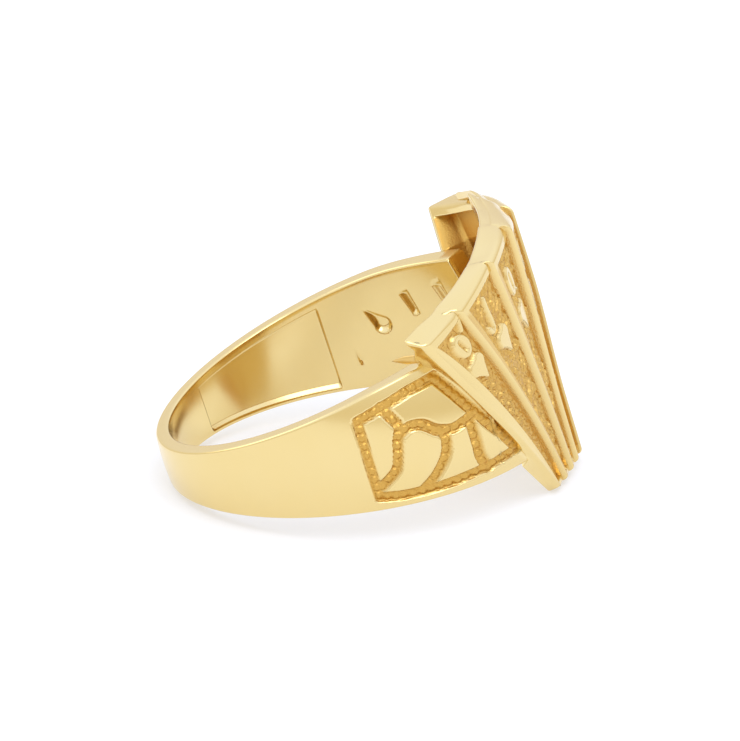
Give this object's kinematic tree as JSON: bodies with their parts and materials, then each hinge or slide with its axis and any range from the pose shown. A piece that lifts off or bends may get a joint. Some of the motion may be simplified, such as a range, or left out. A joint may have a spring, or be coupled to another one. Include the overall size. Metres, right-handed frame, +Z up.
{
  "type": "gold ring with a card-fan head",
  "caption": "Wide cast gold finger ring whose tapered band carries a curved fan of playing cards as its head, with carved shoulders.",
  "frame": {"origin": "middle of the underside of the ring's box, on the surface it lies on", "axes": "+Z up from the surface, +X towards the card-fan head, +Y across the ring towards the highest card; the finger axis leans 16.8 degrees from +Z towards -X"},
  "size_m": [0.0238, 0.0232, 0.0152],
  "materials": {
    "gold": "polished yellow gold, with finely stippled sunk fields"
  },
  "bodies": {
    "root": {"ring": "gold"}
  },
  "joints": []
}
